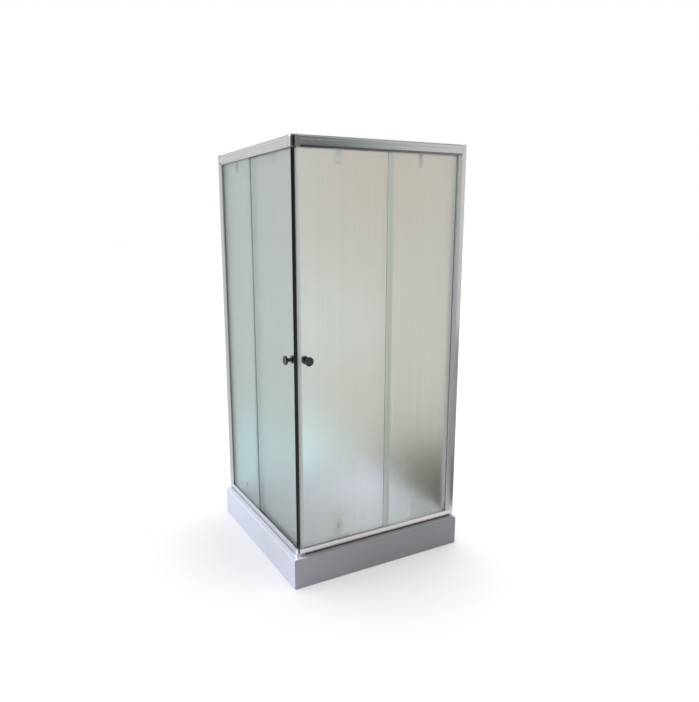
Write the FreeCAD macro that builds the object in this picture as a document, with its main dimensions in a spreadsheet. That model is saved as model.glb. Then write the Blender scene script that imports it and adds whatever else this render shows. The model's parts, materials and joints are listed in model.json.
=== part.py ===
import FreeCAD, Part
import os
import Sketcher

# Corner entry shower enclosure: a square tray with two glazed sides that meet at the front
# corner. Each glazed side has a fixed panel and a door that slides along behind it.
# All sizes are in millimetres. The origin is the centre of the tray at the floor, +Z is up,
# the front side faces -Y, the left side faces -X, and the room's walls stand at +X and +Y.
#
# One glazed side is drawn in its own frame and mirrored for the other. In that frame
#   along = distance along the side, from the tray's front corner towards the wall (X),
#   deep  = distance inwards from the tray's outer face (Y),
#   up    = height above the floor (Z).

DRIVING_SIZES = {
    # tray
    "tray_width": 900,
    "tray_height": 140,
    "tray_skin": 5,
    "tray_edge_round": 6,
    "basin_depth": 55,
    "basin_rim_glass_side": 84,
    "basin_rim_wall_side": 54,
    "basin_corner_round": 60,
    "basin_draft": 12,
    "wall_side_flange": 45,
    # tray support and feet
    "beam_size": 25,
    "beam_wall": 2,
    "beam_length": 800,
    "beam_spacing": 540,
    "foot_pad_radius": 20,
    "foot_pad_thickness": 6,
    "foot_rod_radius": 5,
    "foot_nut_radius": 9,
    "foot_nut_height": 10,
    # waste
    "drain_hole_radius": 45,
    "drain_bore_radius": 38,
    "flange_radius": 56,
    "flange_thickness": 3,
    "flange_barrel_length": 26,
    "drain_cover_radius": 50,
    "drain_cover_thickness": 4,
    "drain_cover_lift": 2,
    "drain_cover_stem_radius": 10,
    "drain_cover_stem_length": 18,
    "drain_cover_foot": 6,
    "trap_radius": 58,
    "trap_cap_overhang": 5,
    "trap_cap_height": 6,
    "trap_wall": 4,
    "trap_floor_gap": 12,
    "outlet_radius": 20,
    "outlet_wall": 2.5,
    "outlet_rise": 32,
    "outlet_reach": 130,
    "outlet_collar_radius": 24,
    "outlet_collar_reach": 72,
    # frame
    "frame_inset": 26,
    "frame_depth": 40,
    "frame_height": 1800,
    "frame_wall": 2,
    "front_wall": 2.5,
    "lip_setback": 2.5,
    "lip_height": 8,
    # header rail
    "header_height": 48,
    "header_chamber_height": 14,
    "header_chamber_inset": 8,
    "header_round": 10,
    "header_back_round": 2,
    "groove_drop": 18,
    "groove_width": 1.5,
    "groove_depth": 1.5,
    "web_reveal": 4,
    # bottom rail
    "bottom_rail_height": 34,
    "bottom_base_height": 10,
    "bottom_rear_lip": 6,
    "bottom_rail_round": 4,
    # track and wheels
    "rib_height": 10,
    "rib_thickness": 2,
    "track_offset": 7.5,
    "wheel_radius": 10,
    "wheel_flange": 2,
    "wheel_width": 6,
    "wheel_groove_width": 2.8,
    "wheel_pitch": 90,
    "axle_radius": 2.5,
    "axle_head_radius": 4,
    "axle_head_thickness": 1,
    "carriage_place": 250,
    # clearances
    "running_clearance": 0.05,
    "rolling_gap": 0.3,
    "slide_clearance": 0.3,
    "fit_clearance": 0.2,
    # glass
    "glass_thickness": 5,
    "gasket_thickness": 2.5,
    "gasket_base": 1.5,
    "web_thickness": 1.5,
    "fixed_glass_inset": 7,
    "fixed_glass_edge": 485,
    "fixed_glass_bottom_gap": 2,
    "fixed_glass_top_gap": 8,
    "door_glass_gap": 4,
    "door_overlap": 36,
    "door_lead_edge": 58,
    "door_bottom_gap": 10,
    "door_top_gap": 21,
    "door_travel": 325,
    # wall channel and glazing post
    "channel_face": 22,
    "post_face": 22,
    "post_slot_depth": 12,
    "post_round": 3,
    "tongue_length": 16,
    "wall_hole_radius": 2.5,
    "wall_hole_spacing": 700,
    "wall_hole_height": 1040,
    # frame screws and rail end plugs
    "screw_radius": 2,
    "screw_length": 14,
    "screw_head_radius": 4.5,
    "screw_head_thickness": 2.5,
    "plug_length": 20,
    # corner connectors
    "corner_length": 40,
    "corner_proud": 1,
    "corner_round": 18,
    "corner_top_round": 8,
    "corner_plug_length": 30,
    # fixed glass clips
    "clip_place": 655,
    "clip_drop": 98,
    "clip_rise": 108,
    "clip_width": 20,
    "clip_tail": 10,
    "clip_cap_radius": 9.5,
    "clip_cap_thickness": 3,
    "clip_pin_radius": 2.5,
    "glass_hole_radius": 4,
    # door stops
    "stop_length": 10,
    "stop_depth": 8,
    "stop_height": 13,
    # seals
    "seal_setback": 8,
    "seal_gap": 0.3,
    "seal_end_gap": 2,
    "magnet_width": 7,
    "magnet_depth": 10,
    "seal_lip": 1.2,
    "seal_grip": 10,
    "seal_base": 1.5,
    "seal_fin_gap": 3,
    # knobs
    "knob_from_edge": 30,
    "knob_height": 1029,
    "knob_length": 38,
    "knob_base_radius": 17.5,
    "knob_base_length": 4,
    "knob_neck_radius": 8.5,
    "knob_disc_radius": 20,
    "knob_disc_length": 8,
    "knob_flare": 6,
    "knob_dish": 2,
    "knob_edge": 1.5,
    "button_radius": 17.5,
    "button_length": 14,
    "stud_radius": 4,
    "stud_depth": 22,
    "button_stud_depth": 9,
    # door carriages
    "bolt_radius": 3,
    "bolt_cap_radius": 11,
    "bolt_cap_thickness": 3,
    "bolt_edge": 1,
    "nut_radius": 5.5,
    "nut_thickness": 4,
    "top_bolt_drop": 90,
    "low_bolt_rise": 108,
    "hanger_thickness": 3,
    "hanger_overhang": 11,
    "hanger_head_gap": 3,
    "hanger_shoulder": 7,
    "hanger_tongue_width": 30,
    "hanger_tail": 14,
    "block_width": 48,
    "block_depth": 14,
    "block_above_bolt": 14,
    "block_below_bolt": 48,
    "block_nut_depth": 7,
    "block_nut_radius": 7,
    "slot_width": 16,
    "slot_depth": 7,
    "slot_inset": 3,
    "slot_length": 36,
    "stem_length": 16,
    "slider_bar_thickness": 3.3,
    "slider_bar_gap": 0.5,
    "slider_bar_half_height": 8,
    "slider_travel": 8,
    "tab_width": 30,
    "tab_reach": 9,
    "tab_thickness": 6,
    # release spring
    "spring_radius": 2.7,
    "spring_wire_radius": 0.4,
    "spring_turns": 8,
}

document = FreeCAD.newDocument("shower_enclosure")
sheet = document.addObject("Spreadsheet::Sheet", "Sizes")
for row, (alias, number) in enumerate(DRIVING_SIZES.items(), start=1):
    sheet.set(f"A{row}", alias)
    sheet.set(f"B{row}", str(number))
    sheet.setAlias(f"B{row}", alias)
document.recompute()


class Size:
    """A length worked out from the sheet: its number now, and the expression that keeps it true."""

    def __init__(self, value, text):
        self.value = value
        self.text = text

    def __add__(self, other):
        other = as_size(other)
        return Size(self.value + other.value, f"({self.text} + {other.text})")

    def __sub__(self, other):
        other = as_size(other)
        return Size(self.value - other.value, f"({self.text} - {other.text})")

    def __mul__(self, factor):
        return Size(self.value * factor, f"{self.text} * {factor}")

    def __truediv__(self, divisor):
        return Size(self.value / divisor, f"{self.text} / {divisor}")

    def __neg__(self):
        return Size(-self.value, f"(0 - {self.text})")


class SheetSizes:
    """Reads a cell of the sheet by its alias."""

    def __getattr__(self, alias):
        return Size(float(sheet.get(alias)), f"Sizes.{alias}")


def as_size(value):
    """A plain number as a Size, so that both can be mixed."""
    return value if isinstance(value, Size) else Size(value, str(value))


ZERO = as_size(0)
size = SheetSizes()


# ---------------------------------------------------------------- drawing helpers

def bind(thing, **properties):
    """Sets properties from sizes and ties them to the sheet; Base_x means Placement.Base.x."""
    for name, value in properties.items():
        path = name if not name.startswith("Base_") else f"Placement.Base.{name[-1]}"
        thing.setExpression(path, as_size(value).text)


def place(thing, along=ZERO, deep=ZERO, up=ZERO):
    """Moves a piece from the side's frame, which starts at the tray's front corner."""
    corner = -(size.tray_width / 2)
    bind(thing, Base_x=corner + along, Base_y=corner + deep, Base_z=up)
    return thing


def new_body(name):
    return document.addObject("PartDesign::Body", name)


def tie_point(sketch, line, end, point):
    """Fixes one end of a sketch line at a point given by two sizes."""
    for axis_word, axis_line, coordinate in (("DistanceX", -2, point[0]), ("DistanceY", -1, point[1])):
        if as_size(coordinate).text == ZERO.text:
            sketch.addConstraint(Sketcher.Constraint("PointOnObject", line, end, axis_line))
        else:
            index = sketch.addConstraint(
                Sketcher.Constraint(axis_word, -1, 1, line, end, coordinate.value))
            sketch.setExpression(f"Constraints[{index}]", coordinate.text)


def draw_outline(sketch, points):
    """Draws a closed outline of straight lines whose corners are all tied to the sheet."""
    corners = [FreeCAD.Vector(as_size(a).value, as_size(b).value, 0) for a, b in points]
    first = sketch.GeometryCount
    count = len(corners)
    for index, corner in enumerate(corners):
        sketch.addGeometry(Part.LineSegment(corner, corners[(index + 1) % count]), False)
    for index in range(count):
        following = first + (index + 1) % count
        sketch.addConstraint(Sketcher.Constraint("Coincident", first + index, 2, following, 1))
    for index, point in enumerate(points):
        tie_point(sketch, first + index, 1, point)


def new_sketch(body, plane, outlines):
    """A sketch on one of the body's own origin planes, with one or more closed outlines."""
    sketch = body.newObject("Sketcher::SketchObject", body.Name + "_section")
    origin_plane = next(f for f in body.Origin.OriginFeatures if f.Role == plane)
    sketch.AttachmentSupport = [(origin_plane, "")]
    sketch.MapMode = "FlatFace"
    for points in outlines:
        draw_outline(sketch, points)
    return sketch


def extruded(name, plane, outlines, length):
    """A straight profile: its section on a plane and its length along the plane's normal."""
    body = new_body(name)
    pad = body.newObject("PartDesign::Pad", name + "_pad")
    pad.Profile = new_sketch(body, plane, outlines)
    bind(pad, Length=length)
    return body


def turned(name, plane, points):
    """A lathe-turned piece: half its section, turned about the sketch's upright axis."""
    body = new_body(name)
    sketch = new_sketch(body, plane, [points])
    turn = body.newObject("PartDesign::Revolution", name + "_turn")
    turn.Profile = sketch
    turn.ReferenceAxis = (sketch, ["V_Axis"])
    turn.Angle = 360
    return body


def edges_along(shape, direction, points):
    """Names of the straight edges that run along X, Y or Z through points of the section."""
    across = [axis for axis in range(3) if axis != direction]
    wanted = [(a.value, b.value) for a, b in points]
    names = []
    for index, edge in enumerate(shape.Edges, start=1):
        ends = [(v.Point[across[0]], v.Point[across[1]]) for v in edge.Vertexes]
        if len(ends) < 2:
            continue
        for a, b in wanted:
            if all(abs(p - a) < 1e-4 and abs(q - b) < 1e-4 for p, q in ends):
                names.append(f"Edge{index}")
    return names


def round_edges(body, suffix, pick_edges, radius):
    """Rounds the edges that pick_edges names on the body as it stands."""
    document.recompute()
    base = body.Tip
    names = pick_edges(base.Shape)
    fillet = body.newObject("PartDesign::Fillet", f"{body.Name}_{suffix}")
    fillet.Base = (base, names)
    bind(fillet, Radius=radius)
    return body


def rounded(body, direction, points, radius):
    """Rounds the edges of an extruded body that run through the given section points."""
    return round_edges(body, "round", lambda shape: edges_along(shape, direction, points), radius)


def rim_edges(shape, height, limit=None):
    """Names of the edges at a height; limit keeps those nearer than it to either outer face."""
    names = []
    for index, edge in enumerate(shape.Edges, start=1):
        middle = edge.CenterOfMass
        level = all(abs(vertex.Z - height.value) < 1e-4 for vertex in edge.Vertexes)
        if level and (limit is None or min(middle.x, middle.y) < limit.value):
            names.append(f"Edge{index}")
    return names


def box(name, along, deep, up):
    """A block between two limits on each axis of the side's frame."""
    block = document.addObject("Part::Box", name)
    bind(block, Length=along[1] - along[0], Width=deep[1] - deep[0], Height=up[1] - up[0])
    return place(block, along[0], deep[0], up[0])


def pin(name, axis, radius, start, end, along=ZERO, deep=ZERO, up=ZERO):
    """A round pin along one axis; along, deep and up give its line, start and end its length."""
    rod = document.addObject("Part::Cylinder", name)
    bind(rod, Radius=radius, Height=end - start)
    if axis == "along":
        rod.Placement.Rotation = FreeCAD.Rotation(FreeCAD.Vector(0, 1, 0), 90)
        return place(rod, start, deep, up)
    if axis == "deep":
        rod.Placement.Rotation = FreeCAD.Rotation(FreeCAD.Vector(1, 0, 0), -90)
        return place(rod, along, start, up)
    return place(rod, along, deep, start)


def joined(name, pieces):
    """Several overlapping or touching shapes as one solid."""
    fuse = document.addObject("Part::MultiFuse", name)
    fuse.Shapes = pieces
    fuse.Refine = True
    return fuse


def cut(name, base, tools):
    """A shape with one or more others taken out of it."""
    result = document.addObject("Part::Cut", name)
    result.Base = base
    result.Tool = tools[0] if len(tools) == 1 else joined(name + "_tools", tools)
    return result


def grouped(name, pieces):
    """Separate solids that share one node."""
    group = document.addObject("Part::Compound", name)
    group.Links = pieces
    return group


def left_twin(piece, name):
    """The mirror image, on the left side, of a piece of the front side."""
    twin = document.addObject("Part::Mirroring", name)
    twin.Source = piece
    twin.Base = FreeCAD.Vector(0, 0, 0)
    twin.Normal = FreeCAD.Vector(1, -1, 0)
    return twin


# ---------------------------------------------------------------- shared positions of one side

frame_front = size.frame_inset
frame_back = frame_front + size.frame_depth
frame_low = size.tray_height
frame_top = size.tray_height + size.frame_height
lip_front = frame_front + size.lip_setback
channel_end = size.tray_width
channel_start = channel_end - size.channel_face
post_start = channel_start - size.post_face
tongue_end = channel_start + size.tongue_length
tongue_front = frame_front + size.frame_wall + size.slide_clearance
tongue_back = frame_back - size.frame_wall - size.slide_clearance
rail_start = frame_front + size.corner_length

fixed_front = frame_front + size.fixed_glass_inset
fixed_back = fixed_front + size.glass_thickness
slot_front = fixed_front - size.gasket_thickness
slot_back = fixed_back + size.gasket_thickness
web_back = slot_back + size.web_thickness
door_front = web_back + size.door_glass_gap
door_back = door_front + size.glass_thickness
track_centre = door_back + size.track_offset
rib_front = track_centre - size.rib_thickness / 2
rib_back = track_centre + size.rib_thickness / 2
wall_inside = frame_back - size.frame_wall

header_low = frame_top - size.header_height
header_ceiling = frame_top - size.header_chamber_height
header_rib_top = header_low + size.rib_height
bottom_floor = frame_low + size.bottom_base_height
bottom_rail_top = frame_low + size.bottom_rail_height
bottom_web_top = bottom_rail_top - size.web_reveal
bottom_rib_top = bottom_floor + size.rib_height

fixed_glass_end = post_start + size.post_slot_depth - size.gasket_base
fixed_glass_bottom = bottom_floor + size.fixed_glass_bottom_gap
fixed_glass_top = header_ceiling - size.fixed_glass_top_gap
door_rear_edge = size.fixed_glass_edge + size.door_overlap
door_bottom = bottom_floor + size.door_bottom_gap
door_top = header_ceiling - size.door_top_gap

top_axle = header_rib_top + size.wheel_radius + size.rolling_gap
low_axle = bottom_rib_top + size.wheel_radius + size.rolling_gap
wheel_front = track_centre - size.wheel_width / 2
wheel_back = track_centre + size.wheel_width / 2
wheel_places = {
    "a": size.carriage_place - size.wheel_pitch / 2,
    "b": size.carriage_place + size.wheel_pitch / 2,
}
top_bolt = frame_top - size.top_bolt_drop
low_bolt = frame_low + size.low_bolt_rise
knob_place = size.door_lead_edge + size.knob_from_edge
top_clip = frame_top - size.clip_drop
low_clip = frame_low + size.clip_rise
seal_low = bottom_rail_top + size.seal_end_gap
seal_high = header_low - size.seal_end_gap
plug_screw_place = channel_start + size.tongue_length / 2
low_screw = (bottom_floor + bottom_rail_top) / 2
top_screw = (header_low + header_ceiling) / 2


# ---------------------------------------------------------------- rails, posts and channels

def rectangle(low_a, high_a, low_b, high_b):
    return [(low_a, low_b), (high_a, low_b), (high_a, high_b), (low_a, high_b)]


def make_header_rail():
    """Top rail: a closed chamber above, the fixed panel's slot in front, the door's rib behind."""
    groove_high = frame_top - size.groove_drop
    groove_low = groove_high - size.groove_width
    groove_back = frame_front + size.groove_depth
    lip_top = header_low + size.lip_height
    lip_inside = lip_top + size.front_wall
    wall_back = frame_front + size.front_wall
    web_low = header_low + size.web_reveal
    ledge_top = header_low + size.frame_wall
    outside = [
        (frame_front, frame_top), (frame_front, groove_high), (groove_back, groove_high),
        (groove_back, groove_low), (frame_front, groove_low), (frame_front, lip_top),
        (lip_front, lip_top), (lip_front, header_low), (slot_front, header_low),
        (slot_front, lip_inside), (wall_back, lip_inside), (wall_back, header_ceiling),
        (slot_back, header_ceiling), (slot_back, web_low), (web_back, web_low),
        (web_back, header_ceiling), (wall_inside, header_ceiling), (wall_inside, ledge_top),
        (rib_back, ledge_top), (rib_back, header_rib_top), (rib_front, header_rib_top),
        (rib_front, header_low), (frame_back, header_low), (frame_back, frame_top),
    ]
    chamber = rectangle(frame_front + size.header_chamber_inset, frame_back - size.front_wall,
                        header_ceiling + size.frame_wall, frame_top - size.front_wall)
    rail = extruded("header_rail", "YZ_Plane", [outside, chamber], channel_start - rail_start)
    rounded(rail, 0, [(frame_front, frame_top)], size.header_round)
    rounded(rail, 0, [(frame_back, frame_top)], size.header_back_round)
    return place(rail, along=rail_start)


def make_bottom_rail():
    """Bottom rail: a hollow base, the fixed panel's slot, the door's rib and a low rear lip."""
    rear_top = bottom_floor + size.bottom_rear_lip
    recess_top = frame_low + size.lip_height
    outside = [
        (lip_front, frame_low), (frame_back, frame_low), (frame_back, rear_top),
        (wall_inside, rear_top), (wall_inside, bottom_floor), (rib_back, bottom_floor),
        (rib_back, bottom_rib_top), (rib_front, bottom_rib_top), (rib_front, bottom_floor),
        (web_back, bottom_floor), (web_back, bottom_web_top), (slot_back, bottom_web_top),
        (slot_back, bottom_floor), (slot_front, bottom_floor), (slot_front, bottom_rail_top),
        (frame_front, bottom_rail_top), (frame_front, recess_top), (lip_front, recess_top),
    ]
    chamber = rectangle(lip_front + size.frame_wall, wall_inside,
                        frame_low + size.frame_wall, bottom_floor - size.frame_wall)
    rail = extruded("bottom_rail", "YZ_Plane", [outside, chamber], channel_start - rail_start)
    rounded(rail, 0, [(frame_front, bottom_rail_top)], size.bottom_rail_round)
    return place(rail, along=rail_start)


def screw_holes(name, radius, heights, start, end):
    """Clearance holes for the frame screws, along the side's depth."""
    return [pin(f"{name}_hole_{index}", "deep", radius, start, end, along=plug_screw_place, up=height)
            for index, height in enumerate(heights)]


def make_wall_channel():
    """U channel screwed to the room's wall; the glazing post slides in it."""
    flange_front = frame_front + size.frame_wall
    web_start = channel_end - size.frame_wall
    section = [
        (channel_start, frame_front), (channel_end, frame_front), (channel_end, frame_back),
        (channel_start, frame_back), (channel_start, wall_inside), (web_start, wall_inside),
        (web_start, flange_front), (channel_start, flange_front),
    ]
    profile = place(extruded("wall_channel_profile", "XY_Plane", [section], size.frame_height),
                    up=frame_low)
    middle = (frame_front + frame_back) / 2
    holes = screw_holes("wall_channel", size.screw_radius + size.fit_clearance,
                        [low_screw, size.wall_hole_height, top_screw],
                        wall_inside - size.frame_wall, frame_back + size.frame_wall)
    for step in (-1, 0, 1):
        height = size.wall_hole_height + size.wall_hole_spacing * step
        holes.append(pin(f"wall_hole_{step + 1}", "along", size.wall_hole_radius,
                         web_start - size.frame_wall, channel_end + size.frame_wall,
                         deep=middle, up=height))
    return cut("wall_channel", profile, holes)


def make_glazing_post():
    """Upright that holds the fixed panel's edge; its tongue reaches into the wall channel."""
    slot_end = post_start + size.post_slot_depth
    section = [
        (post_start, frame_front), (channel_start, frame_front), (channel_start, tongue_front),
        (tongue_end, tongue_front), (tongue_end, tongue_back), (channel_start, tongue_back),
        (channel_start, frame_back), (post_start, frame_back), (post_start, slot_back),
        (slot_end, slot_back), (slot_end, slot_front), (post_start, slot_front),
    ]
    hollow = rectangle(post_start + size.front_wall, tongue_end - size.front_wall,
                       web_back + size.frame_wall, tongue_back - size.frame_wall)
    profile = extruded("glazing_post_profile", "XY_Plane", [section, hollow],
                       header_low - bottom_rail_top)
    rounded(profile, 2, [(post_start, frame_front)], size.post_round)
    place(profile, up=bottom_rail_top)
    holes = screw_holes("glazing_post", size.screw_radius + size.running_clearance,
                        [size.wall_hole_height], web_back, frame_back)
    return cut("glazing_post", profile, holes)


def make_rail_end_plugs():
    """Moulded blocks that join the two rails' ends to the wall channel."""
    plugs = []
    limits = {
        "low": (bottom_rib_top, bottom_rail_top, frame_low + size.frame_wall, low_screw),
        "top": (header_rib_top, header_ceiling, header_low, top_screw),
    }
    for name, (inner_low, inner_high, outer_low, screw_height) in limits.items():
        gap = size.fit_clearance
        in_rail = box(f"plug_{name}_in_rail", (channel_start - size.plug_length, channel_start),
                      (web_back + gap, wall_inside - gap), (inner_low + gap, inner_high - gap))
        in_channel = box(f"plug_{name}_in_channel", (channel_start, tongue_end),
                         (tongue_front, tongue_back), (outer_low + gap, inner_high - gap))
        block = joined(f"plug_{name}_block", [in_rail, in_channel])
        holes = screw_holes(f"plug_{name}", size.screw_radius + size.running_clearance,
                            [screw_height], web_back, frame_back)
        plugs.append(cut(f"plug_{name}", block, holes))
    return grouped("rail_end_plugs", plugs)


def make_frame_screws():
    """Pan head screws of both sides, which lock the post and the plugs in the wall channel."""
    screws = []
    for index, height in enumerate([low_screw, size.wall_hole_height, top_screw]):
        shank = pin(f"frame_screw_shank_{index}", "deep", size.screw_radius,
                    frame_back - size.screw_length, frame_back, along=plug_screw_place, up=height)
        head = pin(f"frame_screw_head_{index}", "deep", size.screw_head_radius,
                   frame_back, frame_back + size.screw_head_thickness,
                   along=plug_screw_place, up=height)
        screw = joined(f"frame_screw_{index}", [shank, head])
        screws += [screw, left_twin(screw, f"left_frame_screw_{index}")]
    return grouped("frame_screws", screws)


# ---------------------------------------------------------------- fixed panel

def make_fixed_glass():
    """Fixed pane, drilled for its two clips."""
    pane = box("fixed_pane", (size.fixed_glass_edge, fixed_glass_end), (fixed_front, fixed_back),
               (fixed_glass_bottom, fixed_glass_top))
    holes = [pin(f"fixed_pane_hole_{name}", "deep", size.glass_hole_radius, slot_front, slot_back,
                 along=size.clip_place, up=height)
             for name, height in (("low", low_clip), ("top", top_clip))]
    return cut("fixed_glass", pane, holes)


def make_fixed_glass_gasket():
    """U strips round the pane's three held edges, with a gap for each clip's plate."""
    glass = (fixed_front, fixed_back)
    width = (slot_front, slot_back)
    strip_top = fixed_glass_top + size.gasket_base
    pane_length = fixed_glass_end - size.fixed_glass_edge
    top_section = [
        (width[0], header_low), (glass[0], header_low), (glass[0], fixed_glass_top),
        (glass[1], fixed_glass_top), (glass[1], header_low), (width[1], header_low),
        (width[1], strip_top), (width[0], strip_top),
    ]
    low_section = [
        (width[0], bottom_floor), (width[1], bottom_floor), (width[1], bottom_web_top),
        (glass[1], bottom_web_top), (glass[1], fixed_glass_bottom), (glass[0], fixed_glass_bottom),
        (glass[0], bottom_web_top), (width[0], bottom_web_top),
    ]
    slot_end = post_start + size.post_slot_depth
    side_section = [
        (post_start, width[0]), (slot_end, width[0]), (slot_end, width[1]), (post_start, width[1]),
        (post_start, glass[1]), (fixed_glass_end, glass[1]), (fixed_glass_end, glass[0]),
        (post_start, glass[0]),
    ]
    strips = []
    for name, section, low, high in (("top", top_section, header_low, strip_top),
                                     ("low", low_section, fixed_glass_bottom, bottom_rail_top)):
        strip = place(extruded(f"gasket_{name}_strip", "YZ_Plane", [section], pane_length),
                      along=size.fixed_glass_edge)
        half_gap = size.clip_width / 2 + size.fit_clearance
        gap = box(f"gasket_{name}_gap", (size.clip_place - half_gap, size.clip_place + half_gap),
                  (fixed_back, slot_back), (low, high))
        strips.append(cut(f"gasket_{name}", strip, [gap]))
    strips.append(place(extruded("gasket_side", "XY_Plane", [side_section],
                                 header_low - bottom_rail_top), up=bottom_rail_top))
    return grouped("fixed_glass_gasket", strips)


def make_fixed_glass_clips():
    """Button clips: a cap outside, a pin through the pane and a plate that ends in the rail."""
    clips = []
    limits = {
        "low": (low_clip, fixed_glass_bottom + size.fit_clearance, low_clip + size.clip_tail),
        "top": (top_clip, top_clip - size.clip_tail, fixed_glass_top),
    }
    half_width = size.clip_width / 2
    for name, (height, plate_low, plate_high) in limits.items():
        plate = box(f"clip_{name}_plate", (size.clip_place - half_width, size.clip_place + half_width),
                    (fixed_back, slot_back), (plate_low, plate_high))
        shank = pin(f"clip_{name}_pin", "deep", size.clip_pin_radius, fixed_front, fixed_back,
                    along=size.clip_place, up=height)
        cap = pin(f"clip_{name}_cap", "deep", size.clip_cap_radius,
                  fixed_front - size.clip_cap_thickness, fixed_front,
                  along=size.clip_place, up=height)
        clips.append(joined(f"clip_{name}", [plate, shank, cap]))
    return grouped("fixed_glass_clips", clips)


def make_door_stops():
    """Rubber blocks on the header's rear wall that end the wheels' travel."""
    reach = size.wheel_radius + size.wheel_flange + size.rolling_gap
    closed_face = wheel_places["a"] - reach
    open_face = wheel_places["b"] + size.door_travel + reach
    deep = (wall_inside - size.stop_depth, wall_inside)
    up = (top_axle - size.stop_height / 2, top_axle + size.stop_height / 2)
    return grouped("door_stops", [
        box("stop_closed", (closed_face - size.stop_length, closed_face), deep, up),
        box("stop_open", (open_face, open_face + size.stop_length), deep, up),
    ])


# ---------------------------------------------------------------- sliding door

def make_door_glass():
    """Door pane, drilled for the knob's stud and the two carriage bolts."""
    pane = box("door_pane", (size.door_lead_edge, door_rear_edge), (door_front, door_back),
               (door_bottom, door_top))
    drillings = (
        ("knob", knob_place, size.knob_height, size.stud_radius + size.fit_clearance * 5),
        ("low", size.carriage_place, low_bolt, size.glass_hole_radius),
        ("top", size.carriage_place, top_bolt, size.glass_hole_radius),
    )
    holes = [pin(f"door_pane_hole_{name}", "deep", radius, web_back, track_centre, along=place_along,
                 up=height)
             for name, place_along, height, radius in drillings]
    return cut("door_glass", pane, holes)


def diagonal_point(along_diagonal, across_diagonal):
    """A point given along the corner's diagonal and square to it, on this side of it."""
    half_root = 0.5 ** 0.5
    start = frame_front + size.seal_setback
    return (start + (along_diagonal + across_diagonal) * half_root,
            start + (along_diagonal - across_diagonal) * half_root)


def make_magnet_strip():
    """Magnetic strip on the door's leading edge; the two doors' strips meet on the diagonal."""
    near = size.seal_gap / 2
    far = near + size.magnet_width
    section = [diagonal_point(ZERO, near), diagonal_point(ZERO, far),
               diagonal_point(size.magnet_depth, far), diagonal_point(size.magnet_depth, near)]
    return place(extruded("magnet_strip", "XY_Plane", [section], seal_high - seal_low), up=seal_low)


def make_door_edge_seal():
    """Clear carrier that grips the door's leading edge and holds the magnetic strip."""
    near = size.seal_gap / 2
    lead = size.door_lead_edge
    lip_outside = door_front - size.seal_lip
    lip_inside = door_back + size.seal_lip
    root = lead - size.seal_base
    tip = lead + size.seal_grip
    section = [
        diagonal_point(size.magnet_depth, near),
        diagonal_point(size.magnet_depth, near + size.magnet_width),
        (root, lip_outside), (tip, lip_outside), (tip, door_front), (lead, door_front),
        (lead, door_back), (tip, door_back), (tip, lip_inside), (root, lip_inside),
    ]
    return place(extruded("door_edge_seal", "XY_Plane", [section], seal_high - seal_low),
                 up=seal_low)


def make_door_rear_seal():
    """Clear channel on the door's rear edge, with a fin towards the fixed pane."""
    edge = door_rear_edge
    tip = edge - size.seal_grip
    back = edge + size.seal_base
    lip_outside = door_front - size.seal_lip
    lip_inside = door_back + size.seal_lip
    fin_front = fixed_back + size.seal_fin_gap
    fin_back = tip + size.seal_lip
    section = [
        (tip, fin_front), (fin_back, fin_front), (fin_back, lip_outside), (back, lip_outside),
        (back, lip_inside), (tip, lip_inside), (tip, door_back), (edge, door_back),
        (edge, door_front), (tip, door_front),
    ]
    return place(extruded("door_rear_seal", "XY_Plane", [section], seal_high - seal_low),
                 up=seal_low)


def make_knob_outer():
    """Spool-shaped outer knob with a dished end, bored for the stud."""

    def at(radius, reach):
        return (radius, door_front - reach)

    disc_start = size.knob_length - size.knob_disc_length
    neck_end = disc_start - size.knob_flare
    neck_start = size.knob_base_length + size.knob_flare / 2
    dish_radius = size.knob_disc_radius - size.knob_edge * 2
    section = [
        at(size.stud_radius, ZERO), at(size.knob_base_radius, ZERO),
        at(size.knob_base_radius, size.knob_base_length), at(size.knob_neck_radius, neck_start),
        at(size.knob_neck_radius, neck_end), at(size.knob_disc_radius, disc_start),
        at(size.knob_disc_radius, size.knob_length - size.knob_edge),
        at(size.knob_disc_radius - size.knob_edge, size.knob_length),
        at(dish_radius, size.knob_length), at(ZERO, size.knob_length - size.knob_dish),
        at(ZERO, size.stud_depth), at(size.stud_radius, size.stud_depth),
    ]
    return place(turned("knob_outer", "XY_Plane", section), along=knob_place, up=size.knob_height)


def make_knob_inner():
    """Low inner button; a full knob here would meet the other door's in the corner."""

    def at(radius, reach):
        return (radius, door_back + reach)

    rim = size.button_radius - size.knob_edge
    section = [
        at(size.stud_radius, ZERO), at(size.button_radius, ZERO),
        at(size.button_radius, size.button_length - size.knob_edge), at(rim, size.button_length),
        at(ZERO, size.button_length), at(ZERO, size.button_stud_depth),
        at(size.stud_radius, size.button_stud_depth),
    ]
    return place(turned("knob_inner", "XY_Plane", section), along=knob_place, up=size.knob_height)


def make_knob_stud():
    """Threaded stud that draws the knob and the button together through the pane."""
    return pin("knob_stud", "deep", size.stud_radius - size.running_clearance,
               door_front - size.stud_depth + size.fit_clearance,
               door_back + size.button_stud_depth - size.fit_clearance,
               along=knob_place, up=size.knob_height)


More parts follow.
